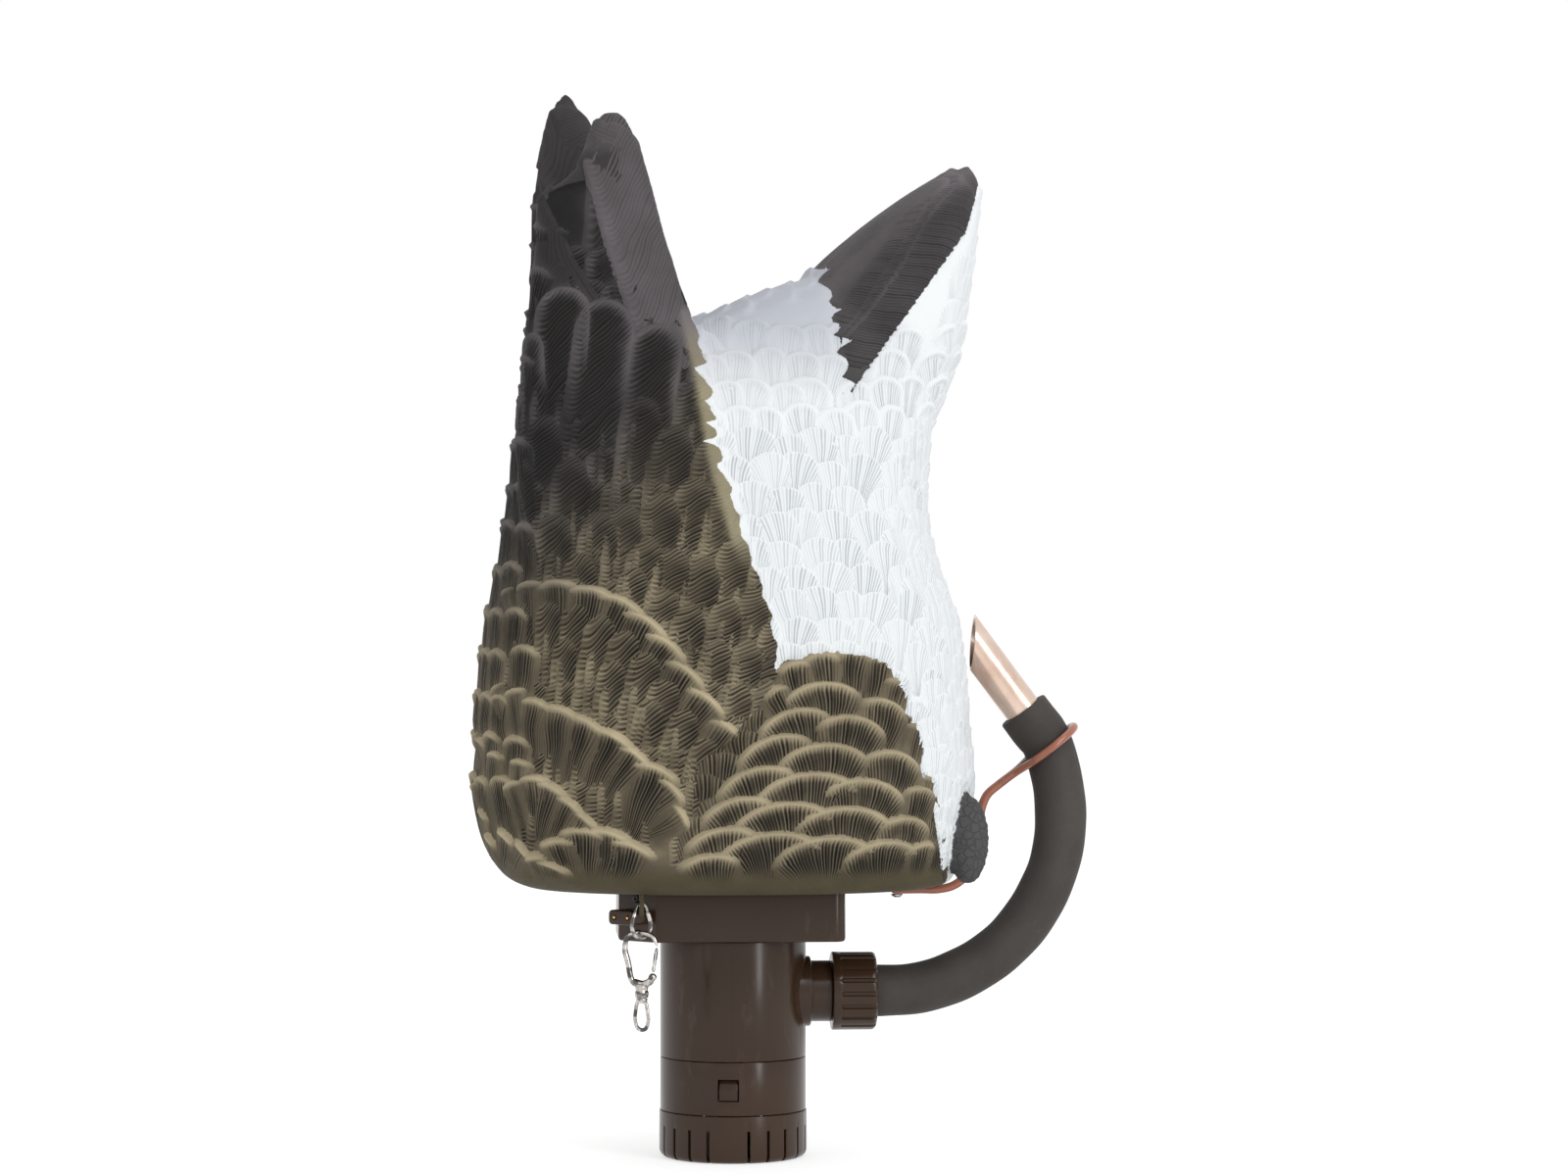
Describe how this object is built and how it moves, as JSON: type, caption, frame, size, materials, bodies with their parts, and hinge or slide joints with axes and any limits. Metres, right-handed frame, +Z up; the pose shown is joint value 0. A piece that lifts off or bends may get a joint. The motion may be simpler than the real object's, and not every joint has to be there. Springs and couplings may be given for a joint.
{
  "type": "feeding goose decoy with pump",
  "caption": "Tail-up rear half of a feeding goose, moulded with feathers, standing on a submersible pump with a curved hose, bevelled nozzle, wire clip and swivel snap hook.",
  "frame": {"origin": "centre of the strainer's flat underside, on which the decoy stands", "axes": "+Z up, -X the goose's back with the folded wings, +X its belly where the hose rises, -Y the side with the snap hook"},
  "size_m": [0.3443, 0.2294, 0.594],
  "materials": {
    "decoy_paint": "matte paint: white rump, brown flanks, charcoal wings and tail",
    "pump_plastic": "dark brown moulded plastic, satin gloss",
    "hose_rubber": "matt dark grey rubber",
    "nozzle_copper": "polished pale copper",
    "clip_wire": "red-brown plastic coating on wire",
    "hardware_chrome": "bright nickel plate",
    "pin_brass": "brass pins",
    "screw_black": "black oxide screws"
  },
  "bodies": {
    "root": {"decoy_body": "decoy_paint", "control_housing": "pump_plastic", "charging_plug": "pump_plastic", "plug_pin_left": "pin_brass", "plug_pin_right": "pin_brass", "panel_screw_upper": "screw_black", "panel_screw_lower": "screw_black", "motor_can": "pump_plastic", "latch_ring": "pump_plastic", "strainer": "pump_plastic", "union_nut": "pump_plastic", "hose": "hose_rubber", "nozzle": "nozzle_copper", "wire_clip": "clip_wire", "clip_screw": "hardware_chrome", "ring_link": "hardware_chrome", "snap_hook": "hardware_chrome"},
    "snap_gate": {"snap_gate": "hardware_chrome"},
    "swivel_eye": {"swivel_eye": "hardware_chrome"}
  },
  "joints": [
    {"name": "gate_hinge", "type": "hinge", "parent": "root", "child": "snap_gate", "pos_m": [-0.04778, -0.0793, 0.10615], "axis": [-0.5, -0.866, 0], "range_deg": [0, 25], "stiffness_Nm_per_rad": 0.0004, "springref_deg": -20.05},
    {"name": "eye_swivel", "type": "hinge", "parent": "root", "child": "swivel_eye", "pos_m": [-0.0535, -0.076, 0.095], "axis": [0, 0, 1], "continuous": true}
  ]
}
